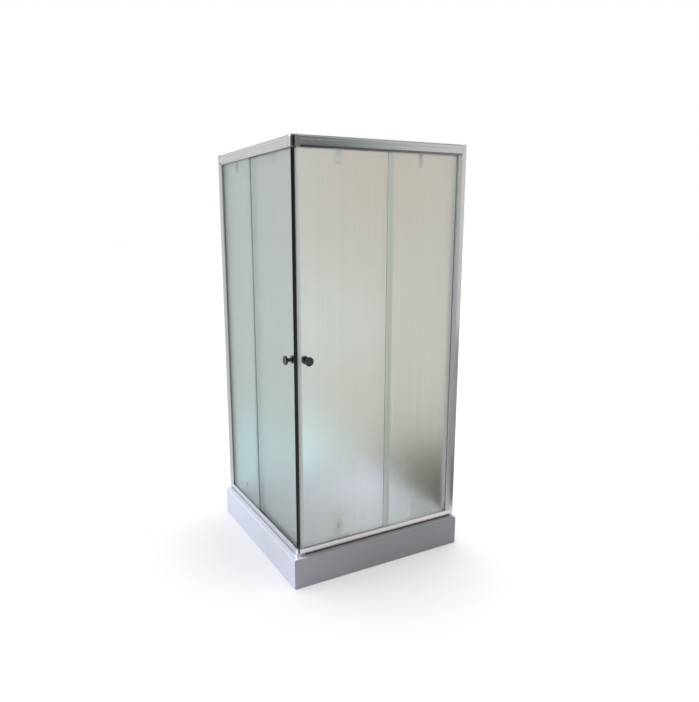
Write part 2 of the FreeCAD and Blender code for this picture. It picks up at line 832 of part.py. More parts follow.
def make_top_carriage():
    """Hanger plate bolted inside the pane, with two stub axles for the upper wheels."""
    plate = (door_back, door_back + size.hanger_thickness)
    half_length = size.wheel_pitch / 2 + size.hanger_overhang
    centre = size.carriage_place
    half_tongue = size.hanger_tongue_width / 2
    head = box("hanger_head", (centre - half_length, centre + half_length), plate,
               (top_axle - size.axle_head_radius - size.hanger_shoulder,
                header_ceiling - size.hanger_head_gap))
    tongue = box("hanger_tongue", (centre - half_tongue, centre + half_tongue), plate,
                 (top_bolt - size.hanger_tail, top_axle))
    solid = joined("hanger_solid", [head, tongue] + make_axles("top", plate[1], top_axle))
    hole = pin("hanger_hole", "deep", size.bolt_radius + size.fit_clearance, door_front,
               track_centre, along=centre, up=top_bolt)
    return cut("top_carriage", solid, [hole])


def make_axles(name, plate_face, height):
    """Stub axles with their retaining heads, one for each wheel of a carriage."""
    head_start = wheel_back + size.slide_clearance
    head_end = head_start + size.axle_head_thickness
    pieces = []
    for letter, along in wheel_places.items():
        pieces.append(pin(f"{name}_axle_{letter}", "deep", size.axle_radius,
                          plate_face - size.running_clearance, head_end, along=along, up=height))
        pieces.append(pin(f"{name}_axle_head_{letter}", "deep", size.axle_head_radius,
                          head_start, head_end, along=along, up=height))
    return pieces


def make_wheel(name, along, height):
    """Grooved nylon wheel that runs along the top of a rib."""
    bore = size.axle_radius + size.running_clearance
    rim = size.wheel_radius + size.wheel_flange
    groove = size.wheel_groove_width / 2
    half_width = size.wheel_width / 2
    edge = (half_width + groove) / 2
    section = [
        (bore, -half_width), (rim, -half_width), (rim, -edge), (size.wheel_radius, -groove),
        (size.wheel_radius, groove), (rim, edge), (rim, half_width), (bore, half_width),
    ]
    return place(turned(name, "XY_Plane", section), along=along, deep=track_centre, up=height)


def make_bolt(name, height, nut_start):
    """Capped bolt through the pane and its nut, as two solids."""
    centre = size.carriage_place
    cap_outside = door_front - size.bolt_cap_thickness
    shank_end = nut_start + size.nut_thickness + size.bolt_edge
    section = [
        (ZERO, cap_outside), (size.bolt_cap_radius - size.bolt_edge, cap_outside),
        (size.bolt_cap_radius, cap_outside + size.bolt_edge), (size.bolt_cap_radius, door_front),
        (size.bolt_radius, door_front), (size.bolt_radius, shank_end), (ZERO, shank_end),
    ]
    bolt = place(turned(name, "XY_Plane", section), along=centre, up=height)
    nut_hole = size.bolt_radius + size.running_clearance
    nut_section = rectangle(nut_hole, size.nut_radius, nut_start, nut_start + size.nut_thickness)
    nut = place(turned(name + "_nut", "XY_Plane", nut_section), along=centre, up=height)
    return [bolt, nut]


def make_carriage_bolts():
    """The two bolts that hold the carriages on the door."""
    low_nut = door_back + size.block_depth - size.block_nut_depth
    return grouped("carriage_bolts",
                   make_bolt("top_carriage_bolt", top_bolt, door_back + size.hanger_thickness)
                   + make_bolt("low_carriage_bolt", low_bolt, low_nut))


def slider_limits():
    """Depth limits of the slider's stem, centred in the block's guide slot."""
    slot_start = door_back + size.slot_inset
    slot_end = slot_start + size.slot_depth
    return slot_start, slot_end


def make_lower_carriage():
    """Moulded block bolted inside the pane; its slot guides the release slider and spring."""
    centre = size.carriage_place
    half_width = size.block_width / 2
    block_low = low_bolt - size.block_below_bolt
    block_end = door_back + size.block_depth
    block = box("carriage_block", (centre - half_width, centre + half_width), (door_back, block_end),
                (block_low, low_bolt + size.block_above_bolt))
    slot_start, slot_end = slider_limits()
    half_slot = size.slot_width / 2
    slot = box("carriage_slot", (centre - half_slot, centre + half_slot), (slot_start, slot_end),
               (block_low - size.slot_inset, block_low + size.slot_length))
    hole = pin("carriage_hole", "deep", size.bolt_radius + size.fit_clearance, door_front, block_end,
               along=centre, up=low_bolt)
    recess = pin("carriage_recess", "deep", size.block_nut_radius, block_end - size.block_nut_depth,
                 block_end + size.slot_inset, along=centre, up=low_bolt)
    return cut("lower_carriage", block, [slot, hole, recess])


def make_lower_slider():
    """Sprung slider with the lower wheels; its tab is lifted to take the wheels off the rib."""
    centre = size.carriage_place
    block_low = low_bolt - size.block_below_bolt
    slot_start, slot_end = slider_limits()
    gap = size.slide_clearance
    bar_front = door_back + size.slider_bar_gap
    bar_back = bar_front + size.slider_bar_thickness
    half_length = size.wheel_pitch / 2 + size.slider_bar_half_height
    half_stem = size.slot_width / 2 - gap
    half_tab = size.tab_width / 2
    tab_top = block_low - size.slider_travel - gap
    bar = box("slider_bar", (centre - half_length, centre + half_length), (bar_front, bar_back),
              (low_axle - size.slider_bar_half_height, low_axle + size.slider_bar_half_height))
    stem = box("slider_stem", (centre - half_stem, centre + half_stem),
               (slot_start + gap, slot_end - gap), (low_axle, block_low + size.stem_length))
    foot = box("slider_foot", (centre - half_stem, centre + half_stem), (bar_front, slot_end - gap),
               (low_axle, low_axle + size.slider_bar_half_height))
    tab = box("slider_tab", (centre - half_tab, centre + half_tab),
              (slot_start + gap, slot_end + size.tab_reach), (tab_top - size.tab_thickness, tab_top))
    axles = make_axles("low", bar_back, low_axle)
    return joined("lower_slider", [bar, stem, foot, tab] + axles)


def make_release_spring():
    """Compression spring between the slider's stem and the end of its slot."""
    block_low = low_bolt - size.block_below_bolt
    slot_start, slot_end = slider_limits()
    wire = size.spring_wire_radius
    low = block_low + size.stem_length + wire + size.running_clearance
    high = block_low + size.slot_length - wire - size.running_clearance
    coil = document.addObject("Part::Helix", "spring_path")
    bind(coil, Radius=size.spring_radius, Height=high - low, Pitch=(high - low) / size.spring_turns.value)
    ring = document.addObject("Part::Circle", "spring_wire")
    bind(ring, Radius=wire)
    ring.Placement.Rotation = FreeCAD.Rotation(FreeCAD.Vector(1, 0, 0), 90)
    bind(ring, Base_x=size.spring_radius)
    spring = document.addObject("Part::Sweep", "release_spring")
    spring.Sections = [ring]
    spring.Spine = (coil, ["Edge1"])
    spring.Solid = True
    spring.Frenet = True
    return place(spring, along=size.carriage_place, deep=(slot_start + slot_end) / 2, up=low)


# ---------------------------------------------------------------- tray, support and waste

def make_tray():
    """Acrylic tray: skirts on the glazed sides, short flanges at the walls and a drafted basin."""
    width = size.tray_width
    skin = size.tray_skin
    full = extruded("tray_block", "XY_Plane", [rectangle(ZERO, width, ZERO, width)], size.tray_height)
    round_edges(full, "edge_round", lambda shape: rim_edges(shape, size.tray_height),
                size.tray_edge_round)
    place(full)
    under = box("tray_underside", (skin, width - skin), (skin, width - skin),
                (-skin, size.tray_height - skin))
    flange_low = size.tray_height - size.wall_side_flange
    wall_gaps = [box("tray_wall_gap_x", (width - skin * 2, width + skin), (skin, width + skin),
                     (-skin, flange_low)),
                 box("tray_wall_gap_y", (skin, width + skin), (width - skin * 2, width + skin),
                     (-skin, flange_low))]
    shell = cut("tray_shell", full, [under] + wall_gaps)
    outer = basin_block("basin_outside", skin, size.tray_height - size.basin_depth - skin,
                        size.tray_height - skin / 2)
    inner = basin_block("basin_inside", ZERO, size.tray_height - size.basin_depth,
                        size.tray_height + skin)
    centre = size.tray_width / 2
    drain = pin("tray_drain_hole", "up", size.drain_hole_radius, ZERO, size.tray_height,
                along=centre, deep=centre)
    return cut("tray", joined("tray_with_basin", [shell, outer]), [inner, drain])


def basin_block(name, grow, low, high):
    """The basin's drafted volume, grown by a wall thickness and cut off at two heights."""
    near = size.basin_rim_glass_side - grow
    far = size.tray_width - size.basin_rim_wall_side + grow
    draft = size.basin_draft / size.basin_depth.value
    rise = high - size.tray_height
    top_near = near - rise * draft.value
    top_far = far + rise * draft.value
    drop = size.tray_height - low
    low_near = near + drop * draft.value
    low_far = far - drop * draft.value
    corner_round = size.basin_corner_round + grow
    body = new_body(name)
    loft = body.newObject("PartDesign::AdditiveLoft", name + "_loft")
    sketches = []
    for level, start, end in (("low", low_near, low_far), ("top", top_near, top_far)):
        sketch = body.newObject("Sketcher::SketchObject", f"{name}_{level}")
        plane = next(f for f in body.Origin.OriginFeatures if f.Role == "XY_Plane")
        sketch.AttachmentSupport = [(plane, "")]
        sketch.MapMode = "FlatFace"
        sketch.setExpression("AttachmentOffset.Base.z", (low if level == "low" else high).text)
        draw_rounded_square(sketch, start, end, corner_round)
        sketches.append(sketch)
    loft.Profile = sketches[0]
    loft.Sections = sketches[1:]
    return place(body)


def draw_rounded_square(sketch, start, end, radius):
    """A square between two limits, the same on both axes, with rounded corners."""
    turns = ((start, start, 180), (end, start, 270), (end, end, 0), (start, end, 90))
    quarter = []
    for x, y, angle in turns:
        centre_x = x + radius * (1 if x is start else -1)
        centre_y = y + radius * (1 if y is start else -1)
        circle = Part.Circle(FreeCAD.Vector(centre_x.value, centre_y.value, 0),
                             FreeCAD.Vector(0, 0, 1), radius.value)
        arc = sketch.addGeometry(Part.ArcOfCircle(circle, radians(angle), radians(angle + 90)), False)
        quarter.append(arc)
        tie_point(sketch, arc, 3, (centre_x, centre_y))
        index = sketch.addConstraint(Sketcher.Constraint("Radius", arc, radius.value))
        sketch.setExpression(f"Constraints[{index}]", radius.text)
    for index, arc in enumerate(quarter):
        following = quarter[(index + 1) % 4]
        line = sketch.addGeometry(
            Part.LineSegment(sketch.getPoint(arc, 2), sketch.getPoint(following, 1)), False)
        sketch.addConstraint(Sketcher.Constraint("Tangent", arc, 2, line, 1))
        sketch.addConstraint(Sketcher.Constraint("Tangent", line, 2, following, 1))


def radians(degrees):
    return FreeCAD.Units.Quantity(degrees, FreeCAD.Units.Angle).getValueAs("rad").Value


def make_support_frame():
    """Square steel tubes under the basin: two long ones and two between them."""
    high = size.tray_height - size.basin_depth - size.tray_skin
    low = high - size.beam_size
    middle = size.tray_width / 2
    half_size = size.beam_size / 2
    half_length = size.beam_length / 2
    tubes = []
    for side in (-1, 1):
        line = middle + size.beam_spacing / 2 * side
        across = (line - half_size, line + half_size)
        long_run = (middle - half_length, middle + half_length)
        short_run = (middle - size.beam_spacing / 2 + half_size,
                     middle + size.beam_spacing / 2 - half_size)
        tubes.append(tube(f"long_beam_{side + 1}", long_run, across, (low, high), "along"))
        tubes.append(tube(f"cross_beam_{side + 1}", across, short_run, (low, high), "deep"))
    return grouped("support_frame", tubes)


def tube(name, along, deep, up, direction):
    """Square tube with its wall thickness, open at both ends."""
    wall = size.beam_wall

    def inside(limits):
        return (limits[0] + wall, limits[1] - wall)

    outer = box(name + "_outside", along, deep, up)
    if direction == "along":
        core = box(name + "_bore", along, inside(deep), inside(up))
    else:
        core = box(name + "_bore", inside(along), deep, inside(up))
    return cut(name, outer, [core])


def make_feet():
    """Screw feet under the crossings of the support frame."""
    beam_low = size.tray_height - size.basin_depth - size.tray_skin - size.beam_size
    nut_low = beam_low - size.foot_nut_height
    section = [
        (ZERO, ZERO), (size.foot_pad_radius, ZERO), (size.foot_pad_radius, size.foot_pad_thickness),
        (size.foot_rod_radius, size.foot_pad_thickness), (size.foot_rod_radius, nut_low),
        (size.foot_nut_radius, nut_low), (size.foot_nut_radius, beam_low), (ZERO, beam_low),
    ]
    feet = []
    for side_x in (-1, 1):
        for side_y in (-1, 1):
            foot = turned(f"foot_{side_x + 1}{side_y + 1}", "XZ_Plane", section)
            bind(foot, Base_x=size.beam_spacing / 2 * side_x, Base_y=size.beam_spacing / 2 * side_y)
            feet.append(foot)
    return grouped("feet", feet)


def make_waste_flange():
    """Chromed ring in the basin's floor with its threaded barrel."""
    floor = size.tray_height - size.basin_depth
    barrel = size.drain_hole_radius - size.slide_clearance
    low = floor - size.flange_barrel_length
    section = [
        (size.drain_bore_radius, low), (barrel, low), (barrel, floor), (size.flange_radius, floor),
        (size.flange_radius, floor + size.flange_thickness / 2),
        (size.drain_bore_radius + size.flange_thickness, floor + size.flange_thickness),
        (size.drain_bore_radius, floor + size.flange_thickness),
    ]
    return turned("waste_flange", "XZ_Plane", section)


def make_drain_cover():
    """Lift-out domed cover; three feet hold it off the flange so that water runs in under it."""
    seat = size.tray_height - size.basin_depth + size.flange_thickness
    disc_low = seat + size.drain_cover_lift
    disc_top = disc_low + size.drain_cover_thickness
    stem_low = disc_low - size.drain_cover_stem_length
    section = [
        (ZERO, stem_low), (size.drain_cover_stem_radius, stem_low),
        (size.drain_cover_stem_radius, disc_low), (size.drain_cover_radius, disc_low),
        (size.drain_cover_radius, disc_low + size.drain_cover_thickness / 2),
        (size.drain_cover_radius - size.drain_cover_foot, disc_top), (ZERO, disc_top),
    ]
    pieces = [turned("drain_cover_disc", "XZ_Plane", section)]
    foot_start = size.drain_cover_stem_radius / 2
    foot_end = size.drain_bore_radius + size.flange_thickness
    for index in range(3):
        foot = document.addObject("Part::Box", f"drain_cover_foot_{index}")
        bind(foot, Length=foot_end - foot_start, Width=size.drain_cover_foot,
             Height=size.drain_cover_lift + size.drain_cover_thickness / 4)
        turn = FreeCAD.Rotation(FreeCAD.Vector(0, 0, 1), 45 + 120 * index)
        corner = FreeCAD.Vector(foot_start.value, -size.drain_cover_foot.value / 2, seat.value)
        foot.Placement = FreeCAD.Placement(turn.multVec(corner), turn)
        pieces.append(foot)
    return joined("drain_cover", pieces)


def make_trap():
    """Low open bowl under the basin, with a collar and a spigot towards the room's corner."""
    rim = size.tray_height - size.basin_depth - size.tray_skin - size.trap_cap_height
    inside = size.trap_radius - size.trap_wall
    floor = size.trap_floor_gap
    section = [
        (ZERO, floor), (size.trap_radius, floor), (size.trap_radius, rim), (inside, rim),
        (inside, floor + size.trap_wall), (ZERO, floor + size.trap_wall),
    ]
    cup = turned("trap_cup", "XZ_Plane", section)
    start = inside + size.trap_wall / 2
    spigot = diagonal_pipe("trap_spigot", size.outlet_radius, start, size.outlet_reach)
    collar = diagonal_pipe("trap_collar", size.outlet_collar_radius, start, size.outlet_collar_reach)
    bore = diagonal_pipe("trap_bore", size.outlet_radius - size.outlet_wall,
                         inside - size.trap_cap_overhang * 2, size.outlet_reach + size.trap_wall)
    return cut("trap", joined("trap_body", [cup, spigot, collar]), [bore])


def make_trap_cap():
    """Ring that closes the bowl's rim and clamps it against the basin's underside."""
    ceiling = size.tray_height - size.basin_depth - size.tray_skin
    low = ceiling - size.trap_cap_height
    outside = size.trap_radius + size.trap_cap_overhang
    section = [
        (size.drain_hole_radius, low), (outside, low), (outside, ceiling),
        (size.drain_hole_radius, ceiling),
    ]
    return turned("trap_cap", "XZ_Plane", section)


def diagonal_pipe(name, radius, start, end):
    """A round pipe on the tray's diagonal, from one reach to another from the drain's centre."""
    pipe = document.addObject("Part::Cylinder", name)
    bind(pipe, Radius=radius, Height=end - start)
    pipe.Placement.Rotation = FreeCAD.Rotation(FreeCAD.Vector(0, 0, 1), FreeCAD.Vector(1, 1, 0))
    half_root = 0.5 ** 0.5
    bind(pipe, Base_x=start * half_root, Base_y=start * half_root, Base_z=size.outlet_rise)
    return pipe


# ---------------------------------------------------------------- corner connectors

def make_corner(name, low, high, hollow_low, hollow_high, plug_low, plug_high, plug_front):
    """Rounded connector that plugs into both rails' ends; its hollow clears the doors."""
    outer = frame_front - size.corner_proud
    inner = frame_front + size.front_wall
    end = rail_start
    block = extruded(name + "_block", "XY_Plane", [rectangle(outer, end, outer, end)], high - low)
    rounded(block, 2, [(outer, outer)], size.corner_round)
    if hollow_low is low:
        round_edges(block, "top_round",
                    lambda shape: rim_edges(shape, high - low, end - size.corner_proud),
                    size.corner_top_round)
    place(block, up=low)
    hollow = extruded(name + "_hollow", "XY_Plane",
                      [rectangle(inner, end + size.corner_proud, inner, end + size.corner_proud)],
                      hollow_high - hollow_low)
    rounded(hollow, 2, [(inner, inner)], size.corner_round - size.front_wall)
    place(hollow, up=hollow_low)
    shell = cut(name + "_shell", block, [hollow])
    reach = (end, end + size.corner_plug_length)
    width = (plug_front, wall_inside - size.fit_clearance * 4)
    height = (plug_low, plug_high)
    plugs = [box(name + "_plug_front", reach, width, height),
             box(name + "_plug_left", width, reach, height)]
    return joined(name, [shell] + plugs)


def make_top_corner():
    gap = size.fit_clearance
    return make_corner("top_corner", header_low, frame_top, header_low, header_ceiling,
                       header_ceiling + size.frame_wall + gap, frame_top - size.front_wall - gap,
                       frame_front + size.header_chamber_inset + gap)


def make_bottom_corner():
    gap = size.fit_clearance
    return make_corner("bottom_corner", frame_low, bottom_rail_top, bottom_floor, bottom_rail_top,
                       frame_low + size.frame_wall + gap, bottom_floor - size.frame_wall - gap,
                       lip_front + size.frame_wall + gap)


# ---------------------------------------------------------------- assembly

side_pieces = {
    "header_rail": make_header_rail(),
    "bottom_rail": make_bottom_rail(),
    "wall_channel": make_wall_channel(),
    "glazing_post": make_glazing_post(),
    "rail_end_plugs": make_rail_end_plugs(),
    "fixed_glass": make_fixed_glass(),
    "fixed_glass_gasket": make_fixed_glass_gasket(),
    "fixed_glass_clips": make_fixed_glass_clips(),
    "door_stops": make_door_stops(),
    "door_glass": make_door_glass(),
    "magnet_strip": make_magnet_strip(),
    "door_edge_seal": make_door_edge_seal(),
    "door_rear_seal": make_door_rear_seal(),
    "knob_outer": make_knob_outer(),
    "knob_inner": make_knob_inner(),
    "knob_stud": make_knob_stud(),
    "top_carriage": make_top_carriage(),
    "carriage_bolts": make_carriage_bolts(),
    "lower_carriage": make_lower_carriage(),
    "lower_slider": make_lower_slider(),
    "release_spring": make_release_spring(),
}
for letter, along in wheel_places.items():
    side_pieces[f"top_wheel_{letter}"] = make_wheel(f"top_wheel_{letter}", along, top_axle)
    side_pieces[f"lower_wheel_{letter}"] = make_wheel(f"lower_wheel_{letter}", along, low_axle)

common_pieces = {
    "frame_screws": make_frame_screws(),
    "tray": make_tray(),
    "support_frame": make_support_frame(),
    "feet": make_feet(),
    "waste_flange": make_waste_flange(),
    "drain_cover": make_drain_cover(),
    "trap": make_trap(),
    "trap_cap": make_trap_cap(),
    "top_corner": make_top_corner(),
    "bottom_corner": make_bottom_corner(),
}

kept = []
for name, piece in side_pieces.items():
    piece.Label = f"front_{name}"
    mirrored = left_twin(piece, f"left_{name}")
    mirrored.Label = f"left_{name}"
    kept += [piece, mirrored]
for name, piece in common_pieces.items():
    piece.Label = name
    kept.append(piece)

document.recompute()
for thing in document.Objects:
    if "Invalid" in thing.State or "Error" in thing.State:
        raise RuntimeError(f"{thing.Name} failed to build: {thing.State}")
for piece in kept:
    if piece.Shape.isNull() or not piece.Shape.isValid():
        raise RuntimeError(f"{piece.Label} has no valid shape")

os.makedirs("parts", exist_ok=True)
for piece in kept:
    piece.Shape.exportStep(f"parts/{piece.Label}.step")
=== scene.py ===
import json
from math import pi, radians

import bmesh
import bpy
from mathutils import Matrix, Vector

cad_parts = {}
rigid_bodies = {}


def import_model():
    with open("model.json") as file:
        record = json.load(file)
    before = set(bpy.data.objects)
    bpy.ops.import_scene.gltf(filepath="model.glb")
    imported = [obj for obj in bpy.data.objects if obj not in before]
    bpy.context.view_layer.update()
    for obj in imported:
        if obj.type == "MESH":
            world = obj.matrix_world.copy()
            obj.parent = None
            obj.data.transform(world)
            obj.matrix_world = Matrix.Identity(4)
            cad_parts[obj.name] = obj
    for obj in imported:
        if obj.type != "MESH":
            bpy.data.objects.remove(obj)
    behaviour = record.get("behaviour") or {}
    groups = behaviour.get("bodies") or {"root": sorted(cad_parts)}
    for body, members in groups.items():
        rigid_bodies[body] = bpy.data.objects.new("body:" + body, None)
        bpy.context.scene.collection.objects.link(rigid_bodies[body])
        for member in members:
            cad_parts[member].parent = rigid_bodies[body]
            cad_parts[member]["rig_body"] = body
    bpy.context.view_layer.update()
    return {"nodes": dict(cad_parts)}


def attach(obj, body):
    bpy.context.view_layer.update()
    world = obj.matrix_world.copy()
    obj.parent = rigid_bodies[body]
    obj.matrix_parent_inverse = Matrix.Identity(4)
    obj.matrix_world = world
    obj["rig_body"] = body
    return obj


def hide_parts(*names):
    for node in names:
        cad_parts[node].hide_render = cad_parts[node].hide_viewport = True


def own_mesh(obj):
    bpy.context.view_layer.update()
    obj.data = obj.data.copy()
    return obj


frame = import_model()
nodes = frame["nodes"]


# ---- Shower tray
# One white acrylic sheet, vacuum formed over a mould: a sunken basin, a flat rim and two skirts that reach
# the floor on the glazed sides. Its skin is glossy and very slightly wavy, as formed sheet is.

def effect(name, inputs, outputs):
    """An empty effect for several finishes, with named inputs and outputs."""
    group = bpy.data.node_groups.new(name, "ShaderNodeTree")
    for label, kind, value in inputs:
        socket = group.interface.new_socket(label, in_out="INPUT", socket_type=kind)
        socket.default_value = value
    for label in outputs:
        group.interface.new_socket(label, in_out="OUTPUT", socket_type="NodeSocketFloat")
    return group, group.nodes.new("NodeGroupInput"), group.nodes.new("NodeGroupOutput")


def add(tree, kind, inputs=None, **settings):
    """A new shader node with its settings and the values of its own inputs."""
    node = tree.nodes.new(kind)
    for key, value in settings.items():
        setattr(node, key, value)
    for key, value in (inputs or {}).items():
        node.inputs[key].default_value = value
    return node


def remap(tree, value, start, end, low=0.0, high=1.0, **settings):
    """Maps what lies between start and end onto low to high."""
    limits = {"From Min": start, "From Max": end, "To Min": low, "To Max": high}
    span = add(tree, "ShaderNodeMapRange", limits, **settings)
    tree.links.new(value, span.inputs["Value"])
    return span.outputs["Result"]


def blend(tree, factor, below, above, **settings):
    """Lays one colour over another by a factor; either may be a plain colour or a socket."""
    mix = add(tree, "ShaderNodeMix", data_type="RGBA", **settings)
    tree.links.new(factor, mix.inputs["Factor"])
    for name, colour in (("A", below), ("B", above)):
        if isinstance(colour, tuple):
            mix.inputs[name].default_value = (*colour, 1.0)
        else:
            tree.links.new(colour, mix.inputs[name])
    return mix.outputs["Result"]


cloudy, cloudy_in, cloudy_out = effect(
    "cloudy_patches", [("Patches per metre", "NodeSocketFloat", 10.0)], ["Mask"])
cloud_place = add(cloudy, "ShaderNodeTexCoord")
clouds = add(cloudy, "ShaderNodeTexNoise", {"Detail": 3.0, "Roughness": 0.55})
cloudy.links.new(cloud_place.outputs["Object"], clouds.inputs["Vector"])
cloudy.links.new(cloudy_in.outputs["Patches per metre"], clouds.inputs["Scale"])
cloudy.links.new(remap(cloudy, clouds.outputs["Fac"], 0.3, 0.7), cloudy_out.inputs["Mask"])


def new_finish(name, metallic=0.0, **constants):
    """A material with the shader's own constant values set."""
    finish = bpy.data.materials.new(name)
    finish.use_nodes = True
    shader = finish.node_tree.nodes["Principled BSDF"]
    shader.inputs["Metallic"].default_value = metallic
    for key, value in constants.items():
        shader.inputs[key.replace("_", " ")].default_value = value
    return finish


def use(finish, group, **values):
    """Places an effect in a finish with its own values."""
    node = finish.node_tree.nodes.new("ShaderNodeGroup")
    node.node_tree = group
    for key, value in values.items():
        node.inputs[key.replace("_", " ")].default_value = value
    return node


def drive(finish, source, name):
    """Links a socket to one of the shader's own inputs."""
    finish.node_tree.links.new(source, finish.node_tree.nodes["Principled BSDF"].inputs[name])


def shade_between(finish, mask, dark, light):
    """Lets a mask run the base colour between two shades."""
    shade = blend(finish.node_tree, mask, dark, light)
    drive(finish, shade, "Base Color")
    return shade


def gloss_between(finish, mask, low, high):
    """Lets a mask run the roughness between two values."""
    drive(finish, remap(finish.node_tree, mask, 0.0, 1.0, low, high), "Roughness")


def relief(finish, height, depth, strength=1.0):
    """Raises the surface by a height mask; depth is in metres."""
    bump = add(finish.node_tree, "ShaderNodeBump", {"Distance": depth, "Strength": strength})
    finish.node_tree.links.new(height, bump.inputs["Height"])
    drive(finish, bump.outputs["Normal"], "Normal")


def eased_copy(node, name, ease, sharp=30, steps=2):
    """A copy of a solid with its triangles joined and its sharp edges eased; it stands for the node."""
    same_point = 0.00001
    flat_angle = radians(0.5)
    crease_angle = radians(40)
    mesh = nodes[node].data.copy()
    mesh.name = name
    work = bmesh.new()
    work.from_mesh(mesh)
    bmesh.ops.remove_doubles(work, verts=work.verts, dist=same_point)
    bmesh.ops.dissolve_limit(work, angle_limit=flat_angle, verts=work.verts, edges=work.edges)
    bmesh.ops.recalc_face_normals(work, faces=work.faces)
    corners = [edge for edge in work.edges
               if len(edge.link_faces) == 2 and edge.calc_face_angle() > radians(sharp)]
    bmesh.ops.bevel(work, geom=corners, offset=ease, offset_type="OFFSET", segments=steps, profile=0.5,
                    affect="EDGES", material=-1, clamp_overlap=True)
    for face in work.faces:
        face.smooth = True
    work.to_mesh(mesh)
    work.free()
    mesh.set_sharp_from_angle(angle=crease_angle)
    piece = bpy.data.objects.new(name, mesh)
    bpy.context.scene.collection.objects.link(piece)
    weigh = piece.modifiers.new("even_faces", "WEIGHTED_NORMAL")
    weigh.keep_sharp = True
    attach(piece, nodes[node]["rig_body"])
    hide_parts(node)
    return piece


def dress(piece, finish):
    """Gives a piece its finish."""
    piece.data.materials.clear()
    piece.data.materials.append(finish)


acrylic = new_finish("white_acrylic", IOR=1.49, Coat_Weight=0.35, Coat_Roughness=0.06)
waves = use(acrylic, cloudy, Patches_per_metre=3.0).outputs["Mask"]
shade_between(acrylic, waves, (0.80, 0.79, 0.83), (0.86, 0.85, 0.885))
gloss_between(acrylic, waves, 0.16, 0.26)
relief(acrylic, waves, 0.0006, 0.5)

tray = eased_copy("tray", "shower_tray", 0.0012)
dress(tray, acrylic)


# ---- Waste
# A chromed brass flange clamps through the basin's floor into a moulded grey trap; a domed chrome cover
# lifts out for cleaning.

chrome = new_finish("bright_chrome", metallic=1.0)
smears = use(chrome, cloudy, Patches_per_metre=60.0).outputs["Mask"]
shade_between(chrome, smears, (0.60, 0.61, 0.63), (0.70, 0.71, 0.73))
gloss_between(chrome, smears, 0.05, 0.12)

skin, skin_in, skin_out = effect(
    "moulded_skin", [("Grains per metre", "NodeSocketFloat", 900.0)], ["Mask"])
grain_place = add(skin, "ShaderNodeTexCoord")
grain_cells = add(skin, "ShaderNodeTexVoronoi", feature="SMOOTH_F1")
skin.links.new(grain_place.outputs["Object"], grain_cells.inputs["Vector"])
skin.links.new(skin_in.outputs["Grains per metre"], grain_cells.inputs["Scale"])
skin.links.new(grain_cells.outputs["Distance"], skin_out.inputs["Mask"])

grey_plastic = new_finish("grey_moulding")
plastic_grain = use(grey_plastic, skin, Grains_per_metre=700.0).outputs["Mask"]
shade_between(grey_plastic, plastic_grain, (0.40, 0.41, 0.42), (0.34, 0.35, 0.36))
gloss_between(grey_plastic, plastic_grain, 0.42, 0.58)
relief(grey_plastic, plastic_grain, 0.0002, 0.6)

dress(eased_copy("waste_flange", "waste_flange_ring", 0.0005), chrome)
dress(eased_copy("drain_cover", "drain_cover_dome", 0.0006), chrome)
for node in ("trap", "trap_cap"):
    dress(eased_copy(node, node + "_moulding", 0.0006), grey_plastic)


# ---- Support frame and feet
# Four galvanised square tubes under the basin, standing on screw feet that level the tray.

zinc = new_finish("galvanised_steel", metallic=1.0)
zinc_place = add(zinc.node_tree, "ShaderNodeTexCoord")
spangle = add(zinc.node_tree, "ShaderNodeTexVoronoi", {"Scale": 90.0})
zinc.node_tree.links.new(zinc_place.outputs["Object"], spangle.inputs["Vector"])
shade_between(zinc, spangle.outputs["Color"], (0.50, 0.52, 0.54), (0.66, 0.68, 0.70))
gloss_between(zinc, spangle.outputs["Distance"], 0.34, 0.5)

for node in ("support_frame", "feet"):
    dress(eased_copy(node, node + "_steel", 0.0008), zinc)


# ---- Aluminium profiles
# Extruded profiles, polished and bright anodised: a channel screwed to each wall with a glazing post inside
# it, a header rail and a bottom rail. Drawing through the die leaves faint lines along each profile.

drawn, drawn_in, drawn_out = effect(
    "drawn_lines", [("Lines per metre", "NodeSocketVector", (300.0, 300.0, 2.0))], ["Mask"])
line_place = add(drawn, "ShaderNodeTexCoord")
stretch = add(drawn, "ShaderNodeVectorMath", operation="MULTIPLY")
lines = add(drawn, "ShaderNodeTexNoise", {"Scale": 1.0, "Detail": 2.0})
drawn.links.new(line_place.outputs["Object"], stretch.inputs[0])
drawn.links.new(drawn_in.outputs["Lines per metre"], stretch.inputs[1])
drawn.links.new(stretch.outputs["Vector"], lines.inputs["Vector"])
drawn.links.new(remap(drawn, lines.outputs["Fac"], 0.33, 0.67), drawn_out.inputs["Mask"])


def polished_aluminium(name, lines_per_metre, gloss=(0.12, 0.20)):
    """Bright profile finish with its faint lines running one way."""
    finish = new_finish(name, metallic=1.0)
    streaks = use(finish, drawn, Lines_per_metre=lines_per_metre).outputs["Mask"]
    shade_between(finish, streaks, (0.72, 0.73, 0.74), (0.84, 0.85, 0.855))
    gloss_between(finish, streaks, *gloss)
    relief(finish, streaks, 0.00003, 0.5)
    return finish


upright = polished_aluminium("aluminium_upright", (350.0, 350.0, 1.5))
satin_upright = polished_aluminium("aluminium_post", (350.0, 350.0, 1.5), gloss=(0.42, 0.5))
across = {"front": polished_aluminium("aluminium_front", (1.5, 350.0, 350.0)),
          "left": polished_aluminium("aluminium_left", (350.0, 1.5, 350.0))}

# Partly a dark foot strip and partly painted shadow: this dark colour on the bottom rail's foot also stands
# in for the shade in the gap between rail and tray.
shadow_strip = new_finish("dark_strip")
strip_pores = use(shadow_strip, skin, Grains_per_metre=1500.0).outputs["Mask"]
shade_between(shadow_strip, strip_pores, (0.15, 0.15, 0.152), (0.12, 0.12, 0.122))
gloss_between(shadow_strip, strip_pores, 0.35, 0.45)
